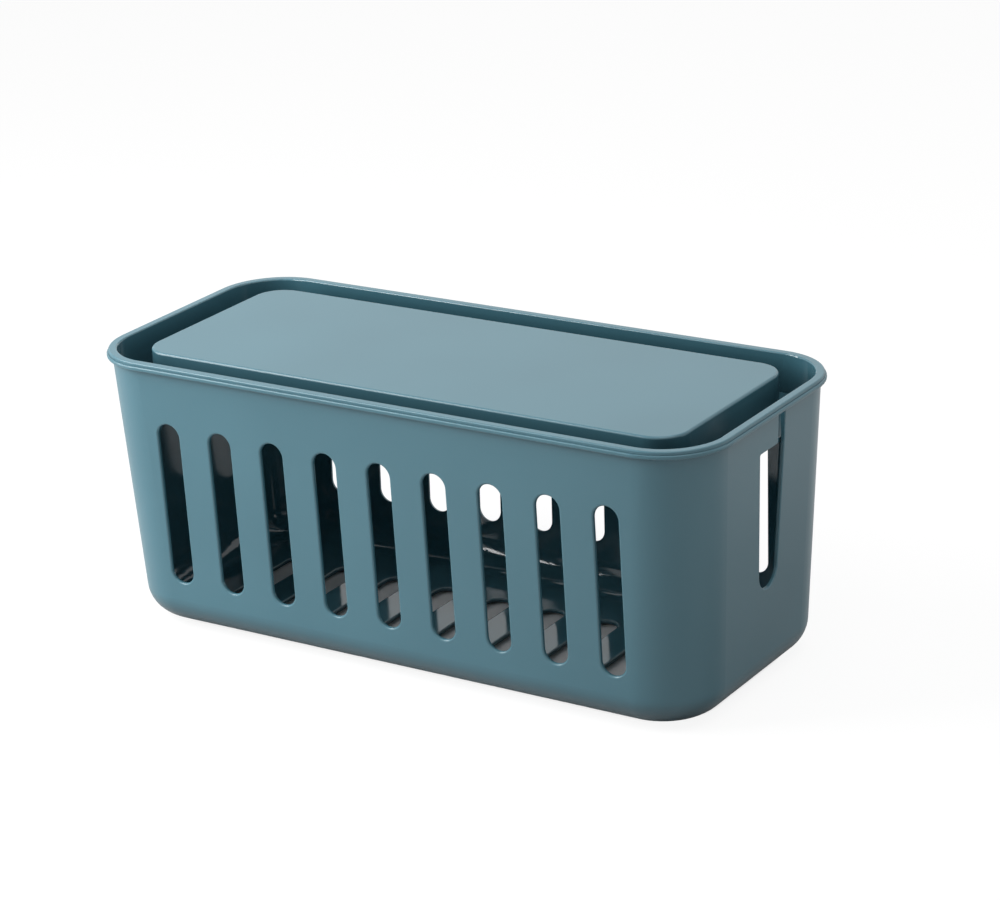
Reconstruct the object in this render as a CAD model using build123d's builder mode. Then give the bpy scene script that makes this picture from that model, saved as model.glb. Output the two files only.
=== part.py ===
from build123d import *
import os
from math import acos, atan2, cos, hypot, sin

# Cable management box: a vented tub on four rubber feet, with a lid that lifts out.
#
# Millimetres. +X runs along the box, +Y to its back and +Z up. The origin is on the
# surface that the box stands on, under its middle. Heights are measured up from the
# tub's underside, which the feet hold a little above that surface.

# Tub, outside. A draft is how far a wall leans in between the rim and the underside.
lip_length = 320.0
lip_width = 139.5
lip_corner_radius = 31.5
tub_height = 129.5
end_draft = 7.0
side_draft = 3.8
base_corner_radius = 29.5
base_fillet = 15.0

# Tub, wall and floor thickness.
wall = 1.6
floor_thickness = 1.6

# Rim: a band wider than the wall, in two steps. The lower one, the lip, stands out further.
rim_width = 4.9
lip_overhang = 2.3
lip_thickness = 1.9
lip_edge_radius = 0.6
ring_height = 1.6
ring_inset = 0.8
ring_edge_radius = 0.7

# Vents: one row of obround slots each in the front, the back and the floor.
vent_pitch = 28.6
vent_width = 12.0
vent_above_underside = 23.3
vent_below_rim = 28.2
floor_vent_side_margin = 35.0
vent_edge_radius = 0.9

# Cord slot in the right end: a wide slot with a round foot, and a narrow throat that
# carries on from its rear edge up to the rim.
cord_slot_above_underside = 46.3
cord_slot_below_rim = 18.3
cord_slot_foot_radius = 8.1
cord_slot_top_width = 21.4
cord_slot_rear_offset = 1.7
cord_slot_corner_radius = 0.8
cord_slot_edge_radius = 0.5
throat_width = 5.7

# Lid: a hollow platform with a flange around its foot. The flange is the floor of the
# groove between the platform and the rim.
platform_drop = 0.5
platform_corner_radius = 14.2
platform_edge_radius = 1.2
end_groove_width = 15.9
side_groove_width = 13.2
groove_depth = 17.4
lid_wall = 2.4
flange_thickness = 2.2
flange_clearance = 0.8
flange_edge_radius = 0.5

# Lid rests: gussets on the inner walls that the flange lies on.
rest_depth = 5.0
rest_height = 8.0
rest_thickness = 2.0
vents_outside_side_rest = 2
end_rest_corner_gap = 3.2

# Feet: rubber discs in shallow pockets in the underside.
foot_diameter = 16.0
foot_stand = 1.0
foot_pocket_depth = 0.5
foot_pocket_clearance = 0.2
foot_edge_radius = 0.3
foot_end_inset = 31.0
foot_side_inset = 24.3

# Heights that follow from the sizes above.
lip_top = tub_height - ring_height
lip_underside = lip_top - lip_thickness
platform_top = tub_height - platform_drop
flange_top = platform_top - groove_depth
flange_underside = flange_top - flange_thickness
rest_foot = flange_underside - rest_height
vent_length = tub_height - vent_above_underside - vent_below_rim
vent_middle = vent_above_underside + vent_length / 2
cord_slot_shoulder = tub_height - cord_slot_below_rim

# Lengths, widths and radii that follow from the sizes above.
wall_top_radius = lip_corner_radius - lip_overhang
inner_fillet = base_fillet - wall
mouth_length = lip_length - 2 * rim_width
mouth_width = lip_width - 2 * rim_width
mouth_corner_radius = lip_corner_radius - rim_width
platform_length = mouth_length - 2 * end_groove_width
platform_width = mouth_width - 2 * side_groove_width
foot_height = foot_stand + foot_pocket_depth

# Views of the box that the slots and the rests are drawn on, level with its underside.
front_view = Plane(origin=(0, 0, foot_stand), x_dir=(1, 0, 0), z_dir=(0, -1, 0))
end_view = Plane(origin=(0, 0, foot_stand), x_dir=(0, 1, 0), z_dir=(1, 0, 0))
cord_slot_view = Plane(
    origin=(0, cord_slot_rear_offset, foot_stand), x_dir=(0, 1, 0), z_dir=(1, 0, 0)
)


def level(height):
    """The horizontal plane at a height."""
    return Plane.XY.offset(foot_stand + height)


def lean(height):
    """The share of the draft that is left at a height: 1 at the underside, 0 at the rim."""
    return 1 - height / tub_height


def wall_half_length(height):
    """From the middle of the box to the outside of an end wall."""
    return lip_length / 2 - lip_overhang - end_draft * lean(height)


def wall_half_width(height):
    """From the middle of the box to the outside of the front or back wall."""
    return lip_width / 2 - lip_overhang - side_draft * lean(height)


def wall_radius(height):
    """The outside corner radius of the walls at a height."""
    return wall_top_radius + (base_corner_radius - wall_top_radius) * lean(height)


def wall_outline(height, inset):
    """The rounded rectangle of the walls at a height, drawn in by an inset."""
    RectangleRounded(
        2 * (wall_half_length(height) - inset),
        2 * (wall_half_width(height) - inset),
        wall_radius(height) - inset,
    )


def mouth_outline(mode=Mode.ADD):
    """The rounded rectangle of the mouth that the lid goes into."""
    RectangleRounded(mouth_length, mouth_width, mouth_corner_radius, mode=mode)


def platform_outline(inset):
    """The rounded rectangle of the lid's platform, drawn in by an inset."""
    RectangleRounded(
        platform_length - 2 * inset, platform_width - 2 * inset, platform_corner_radius - inset
    )


def rest_pair(wall_half_size):
    """Two gussets that face each other: level on top, sloping back into the wall below."""
    top_face = wall_half_size(flange_underside) - wall
    foot_face = wall_half_size(rest_foot) - wall
    with BuildLine() as gusset:
        Polyline(
            (top_face + wall / 2, flange_underside),
            (top_face - rest_depth, flange_underside),
            (foot_face, rest_foot),
            (foot_face + wall / 2, rest_foot),
            close=True,
        )
    make_face(gusset.edges())
    mirror(about=Plane.YZ)


def cord_slot_outline():
    """The wide slot, its sides tangent to the round foot, and the throat up into the rim."""
    half_top = cord_slot_top_width / 2
    foot_centre = cord_slot_above_underside + cord_slot_foot_radius
    rise = cord_slot_shoulder - foot_centre
    flare = acos(cord_slot_foot_radius / hypot(half_top, rise)) - atan2(rise, half_top)
    tangent_x = cord_slot_foot_radius * cos(flare)
    tangent_height = foot_centre - cord_slot_foot_radius * sin(flare)
    with BuildLine() as outline:
        ThreePointArc(
            (-tangent_x, tangent_height),
            (0, cord_slot_above_underside),
            (tangent_x, tangent_height),
        )
        Polyline(
            (tangent_x, tangent_height),
            (half_top, cord_slot_shoulder),
            (half_top, lip_top),
            (half_top - throat_width, lip_top),
            (half_top - throat_width, cord_slot_shoulder),
            (-half_top, cord_slot_shoulder),
            (-tangent_x, tangent_height),
        )
    make_face(outline.edges())


def is_outside(edge):
    """True for an edge that lies on the outer face of one of the four walls."""
    middle = edge.center()
    height = middle.Z - foot_stand
    beyond_ends = abs(middle.X) > wall_half_length(height) - wall / 4
    beyond_sides = abs(middle.Y) > wall_half_width(height) - wall / 4
    return beyond_ends or beyond_sides


def drafted_block(bottom, top, inset, bottom_fillet):
    """A solid that fills the walls' outline, drawn in by an inset, between two heights."""
    with BuildPart() as block:
        with BuildSketch(level(bottom)):
            wall_outline(bottom, inset)
        with BuildSketch(level(top)):
            wall_outline(top, inset)
        loft(ruled=True)
        fillet(block.faces().sort_by(Axis.Z)[0].edges(), bottom_fillet)
    return block.part


tub_body = drafted_block(0, tub_height, 0, base_fillet)
tub_hollow = drafted_block(floor_thickness, flange_top, wall, inner_fillet)

# Above the lid's flange the walls thicken inwards, up to the mouth, so that no step shows.
with BuildPart() as seat_hollow:
    with BuildSketch(level(flange_top)):
        wall_outline(flange_top, wall)
    with BuildSketch(level(lip_underside)):
        mouth_outline()
    loft(ruled=True)
    with BuildSketch(level(lip_underside)):
        wall_outline(lip_underside, wall)
    extrude(amount=tub_height - lip_underside)

# The rim: the lip, and the narrower ring on top of it, around the mouth that the lid goes into.
with BuildPart() as rim:
    with BuildSketch(level(lip_underside)):
        RectangleRounded(lip_length, lip_width, lip_corner_radius)
        mouth_outline(Mode.SUBTRACT)
    extrude(amount=lip_thickness)
    for lip_face in rim.faces().filter_by(Plane.XY):
        fillet(lip_face.outer_wire().edges(), lip_edge_radius)

    with BuildSketch(level(lip_top)):
        RectangleRounded(
            lip_length - 2 * ring_inset, lip_width - 2 * ring_inset, lip_corner_radius - ring_inset
        )
        mouth_outline(Mode.SUBTRACT)
    extrude(amount=ring_height)
    fillet(rim.faces().sort_by(Axis.Z)[-1].edges(), ring_edge_radius)

# The tub is one moulding: walls and floor with their openings, then the rim and the lid rests.
with BuildPart() as tub:
    add(tub_body)
    add(tub_hollow, mode=Mode.SUBTRACT)
    add(seat_hollow.part, mode=Mode.SUBTRACT)

    # As many vents as fit along the straight stretch of the walls at the underside.
    straight_length = 2 * (wall_half_length(0) - base_corner_radius)
    vent_count = 1 + int((straight_length - vent_width) // vent_pitch)

    with BuildSketch(front_view):
        with Locations((0, vent_middle)):
            with GridLocations(vent_pitch, 0, vent_count, 1):
                SlotOverall(vent_length, vent_width, rotation=90)
    extrude(amount=lip_width, both=True, mode=Mode.SUBTRACT)
    vent_edges = tub.edges(Select.LAST).filter_by(is_outside).filter_by(Axis.Y, reverse=True)
    fillet(vent_edges, vent_edge_radius)

    floor_vent_length = 2 * (wall_half_width(0) - floor_vent_side_margin)
    with BuildSketch(level(0)):
        with GridLocations(vent_pitch, 0, vent_count, 1):
            SlotOverall(floor_vent_length, vent_width, rotation=90)
    extrude(amount=floor_thickness, mode=Mode.SUBTRACT)
    fillet(tub.edges(Select.LAST).group_by(Axis.Z)[-1], vent_edge_radius)

    # The shoulder's two corners are rounded: the outer one, and the one under the throat.
    with BuildSketch(cord_slot_view) as cord_slot:
        cord_slot_outline()
        shoulder_corners = cord_slot.vertices().filter_by_position(
            Axis.Y, cord_slot_shoulder, cord_slot_shoulder
        )
        fillet(shoulder_corners.sort_by(Axis.X)[:2], cord_slot_corner_radius)
    extrude(amount=lip_length, mode=Mode.SUBTRACT)
    cord_slot_edges = tub.edges(Select.LAST).filter_by(is_outside).filter_by(Axis.X, reverse=True)
    fillet(cord_slot_edges, cord_slot_edge_radius)

    add(rim.part)

    # Rests between two vents on the long walls, and beside the corners on the end walls.
    side_rest_x = (vent_count / 2 - vents_outside_side_rest) * vent_pitch
    end_rest_y = wall_half_width(tub_height) - wall_top_radius - end_rest_corner_gap
    for side in (-1, 1):
        with BuildSketch(end_view.offset(side * side_rest_x)):
            rest_pair(wall_half_width)
        extrude(amount=rest_thickness / 2, both=True)
        with BuildSketch(front_view.offset(side * end_rest_y)):
            rest_pair(wall_half_length)
        extrude(amount=rest_thickness / 2, both=True)

    foot_x = wall_half_length(0) - foot_end_inset
    foot_y = wall_half_width(0) - foot_side_inset
    with BuildSketch(level(0)):
        with GridLocations(2 * foot_x, 2 * foot_y, 2, 2):
            Circle(foot_diameter / 2 + foot_pocket_clearance)
    extrude(amount=foot_pocket_depth, mode=Mode.SUBTRACT)


# The lid is one moulding, kept as two solids that meet face to face: a flat flange, and a
# hollow platform that stands on it. Both are open in the middle underneath.
with BuildPart() as lid_flange:
    with BuildSketch(level(flange_underside)):
        RectangleRounded(
            mouth_length - 2 * flange_clearance,
            mouth_width - 2 * flange_clearance,
            mouth_corner_radius - flange_clearance,
        )
    extrude(amount=flange_thickness)
    fillet(lid_flange.edges().filter_by(Axis.Z, reverse=True), flange_edge_radius)
    with BuildSketch(level(flange_underside)):
        platform_outline(lid_wall)
    extrude(amount=flange_thickness, mode=Mode.SUBTRACT)

with BuildPart() as lid_platform:
    with BuildSketch(level(flange_top)):
        platform_outline(0)
    extrude(amount=groove_depth)
    fillet(lid_platform.faces().sort_by(Axis.Z)[-1].edges(), platform_edge_radius)
    with BuildSketch(level(flange_top)):
        platform_outline(lid_wall)
    extrude(amount=groove_depth - lid_wall, mode=Mode.SUBTRACT)


def make_foot(x, y):
    """One rubber disc, up to the ceiling of its pocket."""
    with BuildPart() as foot:
        with BuildSketch(Plane.XY):
            with Locations((x, y)):
                Circle(foot_diameter / 2)
        extrude(amount=foot_height)
        fillet(foot.faces().sort_by(Axis.Z)[0].edges(), foot_edge_radius)
    return foot.part


tub.part.label = "tub"
lid_flange.part.label = "lid_flange"
lid_platform.part.label = "lid_platform"
pieces = [tub.part, lid_flange.part, lid_platform.part]
for end_name, x in (("left", -foot_x), ("right", foot_x)):
    for side_name, y in (("front", -foot_y), ("rear", foot_y)):
        foot_part = make_foot(x, y)
        foot_part.label = f"foot_{side_name}_{end_name}"
        pieces.append(foot_part)

os.makedirs("parts", exist_ok=True)
for piece in pieces:
    export_step(piece, f"parts/{piece.label}.step")
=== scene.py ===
"""Cable management box in its studio: finishes on the fixed frame, floor, light and camera.

Metres. +X runs along the box, +Y to its back and +Z up, as in the frame.
"""
import math

import bpy
from mathutils import Matrix, Vector


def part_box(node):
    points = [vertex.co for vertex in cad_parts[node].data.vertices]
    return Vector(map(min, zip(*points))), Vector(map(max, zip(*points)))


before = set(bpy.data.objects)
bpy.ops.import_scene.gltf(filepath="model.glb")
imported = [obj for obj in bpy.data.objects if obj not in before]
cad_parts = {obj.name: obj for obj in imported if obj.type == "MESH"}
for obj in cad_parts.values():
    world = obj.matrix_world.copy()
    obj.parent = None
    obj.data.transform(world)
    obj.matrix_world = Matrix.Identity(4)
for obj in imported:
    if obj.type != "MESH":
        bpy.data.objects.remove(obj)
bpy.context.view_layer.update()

# Colours, linear light.
TEAL = (0.072, 0.190, 0.240)
TEAL_DEEP = (0.066, 0.177, 0.225)
# Painted shade: the darkest colour the plastic is given in crevices and hollows, not a colour of
# its own.
TEAL_IN_PAINTED_SHADE = (0.024, 0.068, 0.088)
RUBBER = (0.021, 0.021, 0.023)
RUBBER_DUSTY = (0.034, 0.034, 0.035)
WHITE = (1.0, 1.0, 1.0)
FLOOR_PAINT = (0.8, 0.8, 0.8)

# Camera: looks down on the right front corner, rolled slightly, from far away.
CAMERA_AZIMUTH = math.radians(33.381)
CAMERA_ELEVATION = math.radians(20.384)
CAMERA_ROLL = math.radians(-2.772)
CAMERA_DISTANCE = 1.4557
CAMERA_TARGET = Vector((0.02017, 0.0, 0.08952))
SENSOR_WIDTH_MM = 36.0
LENS_MM = 117.65

# Studio light. A lamp's level sets how strongly it lights the box, whatever its distance.
AMBIENT_STRENGTH = 0.31
AMBIENT_FROM = Vector((0.5, 0.5, 0.7))
AMBIENT_LEAN = 0.7
SURROUND_IN_GLOSS = 1.05
KEY_DIRECTION = Vector((-0.69, -0.48, 0.56))
KEY_DISTANCE = 0.9
KEY_SIZE = 0.6
KEY_LEVEL = 1.18
OVERHEAD_DIRECTION = Vector((0.32, -0.10, 1.0))
OVERHEAD_DISTANCE = 1.2
OVERHEAD_SIZE = 0.9
OVERHEAD_LEVEL = 0.27
LIGHTS_AIM_AT = Vector((0.0, 0.0, 0.06))
FLOOR_SIZE = 8.0
FLOOR_ROUGHNESS = 0.9
FLOOR_SHADOW_SHARE = 0.18
FLOOR_GLOW = 1.09

# The foot of the box on the floor: how far its sides lie inside the tub's bounds, the radius of
# its corners, and the width over which its share fades out.
BASE_INSET = 0.017
BASE_CORNER_RADIUS = 0.028
BASE_FADE = 0.010

# How light the floor is to light that bounces off it, and to reflections: painted shade and light
# along X.
# To bounced light it is darker just right of the box and lighter again further out; to reflections
# it grows lighter from left to right, past white beyond the box. Each row is a stretch of X, then
# the levels at its two ends, and the two rows of a kind are added.
BOUNCE_FALLS_OFF = (0.06, 0.20, 0.60, 0.10)
BOUNCE_COMES_BACK = (0.28, 0.45, 0.0, 0.50)
GLOSS_RISES = (-0.30, 0.20, 0.55, 0.95)
GLOSS_RISES_PAST_BOX = (0.22, 0.36, 0.0, 0.30)

# Noise runs from 0 to 1. These are the parts of that range that the finishes use.
NOISE_MIDDLE = (0.35, 0.65)
NOISE_SPREAD = (0.3, 0.7)
NOISE_DUSTY_PART = (0.4, 0.7)

# Finish of the plastic: satin on the outside, and polished on the inside of the tub.
SATIN_ROUGHNESS = 0.305
POLISHED_ROUGHNESS = (0.06, 0.09)
PLASTIC_IOR = 1.52
# Painted shade: the plastic darkens where ambient occlusion, reaching as far as the first number,
# finds it closed in; the pair runs from fully darkened to not darkened.
PAINTED_SHADE_REACH = 0.022
PAINTED_SHADE_OPENNESS = (0.28, 0.88)
MOTTLING_PER_METRE = 14.0
SHEEN_PATCHES_PER_METRE = 55.0
SKIN_GRAINS_PER_METRE = 4200.0
SKIN_BUMP_STRENGTH = 0.03
SKIN_DEPTH = 0.00004

# A face is on the tub's inside when it turns to the middle, or when it is low and turns up. Each
# pair runs from not at all to fully.
TURNED_INWARD = (-0.05, -0.25)
LOW_HEIGHT = (0.020, 0.012)
TURNED_UPWARD = (0.3, 0.7)

# Finish of the rubber feet.
DUST_GRAINS_PER_METRE = 900.0
DUSTY_ROUGHNESS = (0.72, 0.86)
DUST_BUMP_STRENGTH = 0.25
DUST_DEPTH = 0.0001


def set_inputs(node, **values):
    """Sets a node's input sockets by name, with _ for a space."""
    for name, value in values.items():
        node.inputs[name.replace("_", " ")].default_value = value


class Surface:
    """A node material in the making, with short ways to add and join its nodes."""

    def __init__(self, name):
        self.material = bpy.data.materials.new(name)
        self.material.use_nodes = True
        self.tree = self.material.node_tree
        self.shader = self.tree.nodes["Principled BSDF"]
        self.output = self.tree.nodes["Material Output"]

    def node(self, kind, operation=None, **values):
        made = self.tree.nodes.new("ShaderNode" + kind)
        if operation:
            made.operation = operation
        set_inputs(made, **values)
        return made

    def join(self, source, target):
        self.tree.links.new(source, target)

    def math(self, operation, first, second=None):
        """A Math node's result; each value is a number or another node's socket."""
        made = self.node("Math", operation)
        for socket, value in zip(made.inputs, (first, second)):
            if isinstance(value, (int, float)):
                socket.default_value = value
            elif value is not None:
                self.join(value, socket)
        return made.outputs["Value"]

    def noise(self, position, scale, detail, roughness=0.5):
        """Noise from 0 to 1 with a scale in features per metre."""
        made = self.node("TexNoise", Scale=scale, Detail=detail, Roughness=roughness)
        self.join(position, made.inputs["Vector"])
        return made.outputs["Fac"]

    def remap(self, value, low, high, new_low, new_high):
        """Maps a range of a value onto another range, held at its ends."""
        made = self.node("MapRange")
        made.clamp = True
        self.join(value, made.inputs["Value"])
        for index, number in enumerate((low, high, new_low, new_high), start=1):
            made.inputs[index].default_value = number
        return made.outputs["Result"]

    def mix(self, share, first, second):
        """A colour between two colours, by a share from 0 to 1."""
        made = self.node("Mix")
        made.data_type = "RGBA"
        self.join(share, made.inputs["Factor"])
        for name, value in (("A", first), ("B", second)):
            socket = next(s for s in made.inputs if s.name == name and s.type == "RGBA")
            if isinstance(value, tuple):
                socket.default_value = (*value, 1.0)
            else:
                self.join(value, socket)
        return next(s for s in made.outputs if s.type == "RGBA")

    def bump(self, height, strength, distance):
        made = self.node("Bump", Strength=strength, Distance=distance)
        self.join(height, made.inputs["Height"])
        return made.outputs["Normal"]


def object_position(surface):
    return surface.node("TexCoord").outputs["Object"]


def inside_share(surface, position):
    """1 on the tub's inner faces and 0 on its outer ones, by where each points and lies."""
    flat = surface.node("VectorMath", "MULTIPLY")
    surface.join(position, flat.inputs[0])
    flat.inputs[1].default_value = (1.0, 1.0, 0.0)
    outward = surface.node("VectorMath", "NORMALIZE")
    surface.join(flat.outputs["Vector"], outward.inputs[0])
    facing = surface.node("VectorMath", "DOT_PRODUCT")
    surface.join(outward.outputs["Vector"], facing.inputs[0])
    surface.join(surface.node("NewGeometry").outputs["Normal"], facing.inputs[1])
    inner_wall = surface.remap(facing.outputs["Value"], *TURNED_INWARD, 0.0, 1.0)

    height = surface.node("SeparateXYZ")
    surface.join(position, height.inputs["Vector"])
    upward = surface.node("SeparateXYZ")
    surface.join(surface.node("NewGeometry").outputs["Normal"], upward.inputs["Vector"])
    low = surface.remap(height.outputs["Z"], *LOW_HEIGHT, 0.0, 1.0)
    level = surface.remap(upward.outputs["Z"], *TURNED_UPWARD, 0.0, 1.0)
    return surface.math("MAXIMUM", inner_wall, surface.math("MULTIPLY", low, level))


def moulded_plastic(name, polished_inside):
    """Satin injection-moulded polypropylene, with a finely eroded skin, faint mottling, and
    painted shade in its crevices and hollows.
    """
    surface = Surface(name)
    shader = surface.shader
    position = object_position(surface)
    set_inputs(shader, IOR=PLASTIC_IOR, Roughness=SATIN_ROUGHNESS)

    mottling = surface.noise(position, MOTTLING_PER_METRE, detail=1.0)
    colour = surface.mix(surface.remap(mottling, *NOISE_MIDDLE, 0.0, 1.0), TEAL, TEAL_DEEP)
    # Painted shade: crevices, grooves and the tub's inside are darkened by how closed in they are.
    openness = surface.node("AmbientOcclusion", Distance=PAINTED_SHADE_REACH).outputs["AO"]
    shade = surface.remap(openness, *PAINTED_SHADE_OPENNESS, 0.0, 1.0)
    surface.join(surface.mix(shade, TEAL_IN_PAINTED_SHADE, colour), shader.inputs["Base Color"])

    if polished_inside:
        sheen_patches = surface.noise(position, SHEEN_PATCHES_PER_METRE, detail=1.0)
        polish = surface.remap(sheen_patches, *NOISE_SPREAD, *POLISHED_ROUGHNESS)
        inside = inside_share(surface, position)
        outside = surface.math("SUBTRACT", 1.0, inside)
        satin = surface.math("MULTIPLY", SATIN_ROUGHNESS, outside)
        polished = surface.math("MULTIPLY", polish, inside)
        surface.join(surface.math("ADD", satin, polished), shader.inputs["Roughness"])

    skin = surface.noise(position, SKIN_GRAINS_PER_METRE, detail=2.0)
    surface.join(surface.bump(skin, SKIN_BUMP_STRENGTH, SKIN_DEPTH), shader.inputs["Normal"])
    return surface.material


def foot_rubber():
    """Black rubber, dull, with a dusty bloom and a coarse grain."""
    surface = Surface("foot_rubber")
    position = object_position(surface)
    shader = surface.shader
    dust = surface.noise(position, DUST_GRAINS_PER_METRE, detail=5.0, roughness=0.6)
    colour = surface.mix(surface.remap(dust, *NOISE_DUSTY_PART, 0.0, 1.0), RUBBER, RUBBER_DUSTY)
    surface.join(colour, shader.inputs["Base Color"])
    surface.join(surface.remap(dust, *NOISE_SPREAD, *DUSTY_ROUGHNESS), shader.inputs["Roughness"])
    surface.join(surface.bump(dust, DUST_BUMP_STRENGTH, DUST_DEPTH), shader.inputs["Normal"])
    return surface.material


def dress(node, material):
    """Gives a frame node its finish in place of the plain one it came with."""
    for material_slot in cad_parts[node].material_slots:
        material_slot.material = material


def seen_directly(surface):
    """1 for what the camera sees itself or through glass, 0 for light on the object."""
    path = surface.node("LightPath").outputs
    return surface.math("MAXIMUM", path["Is Camera Ray"], path["Is Transmission Ray"])


def footprint_share(surface):
    """1 on the floor under the box, fading to 0 at the rounded edge of its base."""
    high_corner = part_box("tub")[1]
    parts = surface.node("SeparateXYZ")
    surface.join(object_position(surface), parts.inputs["Vector"])
    squares = []
    for axis, reach in zip("XY", high_corner):
        from_middle = surface.math("ABSOLUTE", parts.outputs[axis])
        past_side = surface.math("SUBTRACT", from_middle, reach - BASE_INSET - BASE_CORNER_RADIUS)
        past_side = surface.math("MAXIMUM", past_side, 0.0)
        squares.append(surface.math("MULTIPLY", past_side, past_side))
    from_corner = surface.math("SQRT", surface.math("ADD", *squares))
    return surface.remap(from_corner, BASE_CORNER_RADIUS - BASE_FADE, BASE_CORNER_RADIUS, 1.0, 0.0)


def studio_floor():
    """A white sheet that shows white itself, with a share of its real shading for the shadow, and
    painted shade and light along X in its colour to bounced light and reflections.
    """
    mesh = bpy.data.meshes.new("studio_floor")
    reach = FLOOR_SIZE / 2
    corners = [(-reach, -reach, 0), (reach, -reach, 0), (reach, reach, 0), (-reach, reach, 0)]
    mesh.from_pydata(corners, [], [(0, 1, 2, 3)])
    floor = bpy.data.objects.new("studio_floor", mesh)
    bpy.context.scene.collection.objects.link(floor)

    surface = Surface("studio_white")
    set_inputs(surface.shader, Roughness=FLOOR_ROUGHNESS, Specular_IOR_Level=0.0)
    place = surface.node("SeparateXYZ")
    surface.join(object_position(surface), place.inputs["Vector"])
    across = place.outputs["X"]
    # Painted shade and light: the floor's colour to bounced light and to reflections changes along
    # X.
    bounced = surface.math("ADD", surface.remap(across, *BOUNCE_FALLS_OFF),
                           surface.remap(across, *BOUNCE_COMES_BACK))
    reflected = surface.math("ADD", surface.remap(across, *GLOSS_RISES),
                             surface.remap(across, *GLOSS_RISES_PAST_BOX))
    in_gloss = surface.node("LightPath").outputs["Is Glossy Ray"]
    unseen = surface.mix(in_gloss, bounced, reflected)
    colour = surface.mix(seen_directly(surface), unseen, FLOOR_PAINT)
    surface.join(colour, surface.shader.inputs["Base Color"])
    shine = surface.node("Emission", Color=(*WHITE, 1.0), Strength=FLOOR_GLOW)
    away_from_box = surface.math("SUBTRACT", 1.0, footprint_share(surface))
    share = surface.math("MULTIPLY", seen_directly(surface), away_from_box)
    share = surface.math("MULTIPLY", share, 1.0 - FLOOR_SHADOW_SHARE)
    blend = surface.node("MixShader")
    surface.join(share, blend.inputs["Fac"])
    surface.join(surface.shader.outputs["BSDF"], blend.inputs[1])
    surface.join(shine.outputs["Emission"], blend.inputs[2])
    surface.join(blend.outputs["Shader"], surface.output.inputs["Surface"])
    mesh.materials.append(surface.material)


def studio_world():
    """White where it is seen, near white in reflections, and a low light that leans one way."""
    world = bpy.data.worlds.new("studio_world")
    world.use_nodes = True
    bpy.context.scene.world = world
    tree = world.node_tree
    background = tree.nodes["Background"]
    background.inputs["Color"].default_value = (*WHITE, 1.0)
    sky = tree.nodes.new("ShaderNodeVectorMath")
    sky.operation = "DOT_PRODUCT"
    tree.links.new(tree.nodes.new("ShaderNodeTexCoord").outputs["Generated"], sky.inputs[0])
    sky.inputs[1].default_value = AMBIENT_FROM.normalized()
    leaning = tree.nodes.new("ShaderNodeMapRange")
    tree.links.new(sky.outputs["Value"], leaning.inputs["Value"])
    for name, level in (("From Min", -1.0), ("From Max", 1.0),
                        ("To Min", AMBIENT_STRENGTH * (1.0 - AMBIENT_LEAN)),
                        ("To Max", AMBIENT_STRENGTH * (1.0 + AMBIENT_LEAN))):
        leaning.inputs[name].default_value = level
    path = tree.nodes.new("ShaderNodeLightPath")
    strength = leaning.outputs["Result"]
    for ray, level in (("Is Glossy Ray", SURROUND_IN_GLOSS), ("Is Transmission Ray", 1.0),
                       ("Is Camera Ray", 1.0)):
        step = tree.nodes.new("ShaderNodeMix")
        step.inputs["B"].default_value = level
        tree.links.new(path.outputs[ray], step.inputs["Factor"])
        tree.links.new(strength, step.inputs["A"])
        strength = step.outputs["Result"]
    tree.links.new(strength, background.inputs["Strength"])


def area_light(name, direction, distance, size, level):
    """A soft square lamp that shines at the middle of the box."""
    lamp = bpy.data.lights.new(name, "AREA")
    lamp.shape = "SQUARE"
    lamp.size = size
    lamp.energy = level * math.pi ** 2 * distance ** 2
    holder = bpy.data.objects.new(name, lamp)
    place = LIGHTS_AIM_AT + direction.normalized() * distance
    holder.matrix_world = Matrix.Translation(place) @ direction.to_track_quat(
        "Z", "Y").to_matrix().to_4x4()
    bpy.context.scene.collection.objects.link(holder)


def studio_camera():
    """The camera, turned about its own axis by its roll."""
    back = Vector((
        math.sin(CAMERA_AZIMUTH) * math.cos(CAMERA_ELEVATION),
        -math.cos(CAMERA_AZIMUTH) * math.cos(CAMERA_ELEVATION),
        math.sin(CAMERA_ELEVATION),
    ))
    level_right = Vector((0.0, 0.0, 1.0)).cross(back).normalized()
    level_up = back.cross(level_right)
    right = level_right * math.cos(CAMERA_ROLL) + level_up * math.sin(CAMERA_ROLL)
    up = level_up * math.cos(CAMERA_ROLL) - level_right * math.sin(CAMERA_ROLL)
    turn = Matrix((right, up, back)).transposed().to_4x4()
    lens = bpy.data.cameras.new("camera")
    lens.sensor_fit = "HORIZONTAL"
    lens.sensor_width = SENSOR_WIDTH_MM
    lens.lens = LENS_MM
    camera = bpy.data.objects.new("camera", lens)
    camera.matrix_world = Matrix.Translation(CAMERA_TARGET + back * CAMERA_DISTANCE) @ turn
    bpy.context.scene.collection.objects.link(camera)
    bpy.context.scene.camera = camera


def main():
    studio_camera()
    studio_world()
    studio_floor()
    area_light("key_light", KEY_DIRECTION, KEY_DISTANCE, KEY_SIZE, KEY_LEVEL)
    area_light("overhead_light", OVERHEAD_DIRECTION, OVERHEAD_DISTANCE, OVERHEAD_SIZE,
               OVERHEAD_LEVEL)
    bpy.context.scene.view_settings.view_transform = "Standard"

    dress("tub", moulded_plastic("tub_plastic", polished_inside=True))
    lid_plastic = moulded_plastic("lid_plastic", polished_inside=False)
    dress("lid_flange", lid_plastic)
    dress("lid_platform", lid_plastic)
    rubber = foot_rubber()
    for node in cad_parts:
        if node.startswith("foot_"):
            dress(node, rubber)


main()
